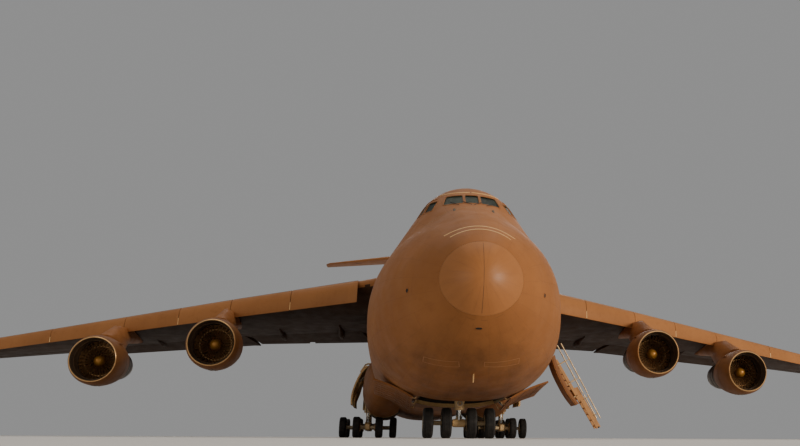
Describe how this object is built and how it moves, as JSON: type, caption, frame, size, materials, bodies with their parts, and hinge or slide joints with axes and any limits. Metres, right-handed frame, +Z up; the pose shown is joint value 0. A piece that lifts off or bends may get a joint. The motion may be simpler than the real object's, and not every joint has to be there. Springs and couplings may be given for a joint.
{
  "type": "four-engine military transport plane, 1:2 scale model",
  "caption": "High-wing, T-tailed military transport plane parked on its gear, with a lifting nose visor, cargo ramps, a crew door with ladder, spinning fans and movable control surfaces.",
  "frame": {"origin": "on the ground under the middle of the overall length and span", "axes": "+X to the left (port) wing tip, +Y aft, +Z up"},
  "size_m": [33.95, 37.769, 9.92],
  "materials": {
    "airframe": "matte paint, weathered",
    "radome": "matte paint",
    "engine": "heat-stained matte",
    "fan": "satin metal",
    "gear": "gloss paint",
    "tyre": "worn rubber",
    "glazing": "clear, dark inside",
    "floor": "bare metal with anti-slip coat",
    "ladder": "satin metal"
  },
  "bodies": {
    "airframe": {"cargo_floor": "floor", "engine_1": "engine", "engine_2": "engine", "engine_3": "engine", "engine_4": "engine", "fin": "airframe", "flap_inner_left": "airframe", "flap_inner_right": "airframe", "flap_outer_left": "airframe", "flap_outer_right": "airframe", "flight_deck_glass": "glazing", "fuselage_center": "airframe", "fuselage_front": "airframe", "fuselage_rear": "airframe", "gear_pod_left": "airframe", "gear_pod_right": "airframe", "main_leg_front_left": "gear", "main_leg_front_right": "gear", "main_leg_rear_left": "gear", "main_leg_rear_right": "gear", "nacelle_1": "airframe", "nacelle_2": "airframe", "nacelle_3": "airframe", "nacelle_4": "airframe", "nose_gear_door_left": "airframe", "nose_gear_door_right": "airframe", "nose_leg": "gear", "tail_cone": "airframe", "tailplane": "airframe", "upper_deck": "floor", "wing_left": "airframe", "wing_right": "airframe"},
    "visor": {"visor": "airframe", "radome": "radome"},
    "front_ramp": {"front_ramp": "floor"},
    "rear_ramp": {"rear_ramp": "airframe"},
    "rear_side_door_left": {"rear_side_door_left": "airframe"},
    "rear_side_door_right": {"rear_side_door_right": "airframe"},
    "crew_door": {"crew_door": "airframe"},
    "crew_ladder": {"crew_ladder": "ladder"},
    "nose_steering": {"nose_steering": "gear"},
    "nose_wheels": {"nose_wheels": "tyre"},
    "fan_1": {"fan_1": "fan"},
    "fan_2": {"fan_2": "fan"},
    "fan_3": {"fan_3": "fan"},
    "fan_4": {"fan_4": "fan"},
    "main_twin_wheels_front_left": {"main_twin_wheels_front_left": "tyre"},
    "main_quad_wheels_front_left": {"main_quad_wheels_front_left": "tyre"},
    "main_twin_wheels_front_right": {"main_twin_wheels_front_right": "tyre"},
    "main_quad_wheels_front_right": {"main_quad_wheels_front_right": "tyre"},
    "main_twin_wheels_rear_left": {"main_twin_wheels_rear_left": "tyre"},
    "main_quad_wheels_rear_left": {"main_quad_wheels_rear_left": "tyre"},
    "main_twin_wheels_rear_right": {"main_twin_wheels_rear_right": "tyre"},
    "main_quad_wheels_rear_right": {"main_quad_wheels_rear_right": "tyre"},
    "aileron_left": {"aileron_left": "airframe"},
    "elevator_left": {"elevator_left": "airframe"},
    "aileron_right": {"aileron_right": "airframe"},
    "elevator_right": {"elevator_right": "airframe"},
    "rudder": {"rudder": "airframe"}
  },
  "joints": [
    {"name": "visor_lift", "type": "hinge", "parent": "airframe", "child": "visor", "pos_m": [0, -16.585, 4.4], "axis": [-1, 0, 0], "range_deg": [0, 90]},
    {"name": "front_ramp_fold", "type": "hinge", "parent": "airframe", "child": "front_ramp", "pos_m": [0, -15.585, 1.3], "axis": [1, 0, 0], "range_deg": [0, 120]},
    {"name": "rear_ramp_drop", "type": "hinge", "parent": "airframe", "child": "rear_ramp", "pos_m": [0, 4.115, 0.65], "axis": [-1, 0, 0], "range_deg": [0, 18]},
    {"name": "rear_side_door_left_swing", "type": "hinge", "parent": "airframe", "child": "rear_side_door_left", "pos_m": [1.37, 6.865, 1.3442], "axis": [0, -0.9422, -0.335], "range_deg": [0, 50]},
    {"name": "rear_side_door_right_swing", "type": "hinge", "parent": "airframe", "child": "rear_side_door_right", "pos_m": [-1.37, 6.865, 1.3442], "axis": [0, 0.9422, 0.335], "range_deg": [0, 50]},
    {"name": "crew_door_swing", "type": "hinge", "parent": "airframe", "child": "crew_door", "pos_m": [1.905, -14.21, 1.71], "axis": [0, 1, 0], "range_deg": [-150, 0]},
    {"name": "crew_ladder_slide", "type": "slide", "parent": "crew_door", "child": "crew_ladder", "axis": [0.5177, 0, -0.8555], "range_m": [-0.775, 0]},
    {"name": "nose_gear_steer", "type": "hinge", "parent": "airframe", "child": "nose_steering", "pos_m": [0, -14.285, 0.8825], "axis": [0, 0, 1], "range_deg": [-60, 60]},
    {"name": "nose_wheels_spin", "type": "hinge", "parent": "nose_steering", "child": "nose_wheels", "pos_m": [0, -14.285, 0.31125], "axis": [1, 0, 0], "continuous": true},
    {"name": "main_twin_wheels_front_left_spin", "type": "hinge", "parent": "airframe", "child": "main_twin_wheels_front_left", "pos_m": [2.05, -5.015, 0.31125], "axis": [1, 0, 0], "continuous": true},
    {"name": "main_quad_wheels_front_left_spin", "type": "hinge", "parent": "airframe", "child": "main_quad_wheels_front_left", "pos_m": [2.05, -4.185, 0.31125], "axis": [1, 0, 0], "continuous": true},
    {"name": "main_twin_wheels_front_right_spin", "type": "hinge", "parent": "airframe", "child": "main_twin_wheels_front_right", "pos_m": [-2.05, -5.015, 0.31125], "axis": [1, 0, 0], "continuous": true},
    {"name": "main_quad_wheels_front_right_spin", "type": "hinge", "parent": "airframe", "child": "main_quad_wheels_front_right", "pos_m": [-2.05, -4.185, 0.31125], "axis": [1, 0, 0], "continuous": true},
    {"name": "main_twin_wheels_rear_left_spin", "type": "hinge", "parent": "airframe", "child": "main_twin_wheels_rear_left", "pos_m": [2.05, -2.22, 0.31125], "axis": [1, 0, 0], "continuous": true},
    {"name": "main_quad_wheels_rear_left_spin", "type": "hinge", "parent": "airframe", "child": "main_quad_wheels_rear_left", "pos_m": [2.05, -1.39, 0.31125], "axis": [1, 0, 0], "continuous": true},
    {"name": "main_twin_wheels_rear_right_spin", "type": "hinge", "parent": "airframe", "child": "main_twin_wheels_rear_right", "pos_m": [-2.05, -2.22, 0.31125], "axis": [1, 0, 0], "continuous": true},
    {"name": "main_quad_wheels_rear_right_spin", "type": "hinge", "parent": "airframe", "child": "main_quad_wheels_rear_right", "pos_m": [-2.05, -1.39, 0.31125], "axis": [1, 0, 0], "continuous": true},
    {"name": "fan_1_spin", "type": "hinge", "parent": "airframe", "child": "fan_1", "pos_m": [-9.575, -5.935, 2.08], "axis": [0, 1, 0], "continuous": true},
    {"name": "fan_2_spin", "type": "hinge", "parent": "airframe", "child": "fan_2", "pos_m": [-6.2, -7.51, 2.46], "axis": [0, 1, 0], "continuous": true},
    {"name": "fan_3_spin", "type": "hinge", "parent": "airframe", "child": "fan_3", "pos_m": [6.2, -7.51, 2.46], "axis": [0, 1, 0], "continuous": true},
    {"name": "fan_4_spin", "type": "hinge", "parent": "airframe", "child": "fan_4", "pos_m": [9.575, -5.935, 2.08], "axis": [0, 1, 0], "continuous": true},
    {"name": "aileron_left_hinge", "type": "hinge", "parent": "airframe", "child": "aileron_left", "pos_m": [12, -0.10159, 3.01161], "axis": [-0.9363, -0.3426, 0.0765], "range_deg": [-25, 25]},
    {"name": "aileron_right_hinge", "type": "hinge", "parent": "airframe", "child": "aileron_right", "pos_m": [-12, -0.10159, 3.01161], "axis": [-0.9363, 0.3426, -0.0765], "range_deg": [-25, 25]},
    {"name": "elevator_left_hinge", "type": "hinge", "parent": "airframe", "child": "elevator_left", "pos_m": [0.45, 16.93284, 9.7446], "axis": [-0.9521, -0.3022, 0.0471], "range_deg": [-25, 25]},
    {"name": "elevator_right_hinge", "type": "hinge", "parent": "airframe", "child": "elevator_right", "pos_m": [-0.45, 16.93284, 9.7446], "axis": [-0.9521, 0.3022, -0.0471], "range_deg": [-25, 25]},
    {"name": "rudder_hinge", "type": "hinge", "parent": "airframe", "child": "rudder", "pos_m": [0, 13.1183, 5], "axis": [0, 0.5688, 0.8225], "range_deg": [-25, 25]}
  ],
  "couplings": [
    {"joint": "front_ramp_fold", "follows": "visor_lift", "ratio": 1.3333},
    {"joint": "crew_ladder_slide", "follows": "crew_door_swing", "m_per_rad": 0.296}
  ]
}
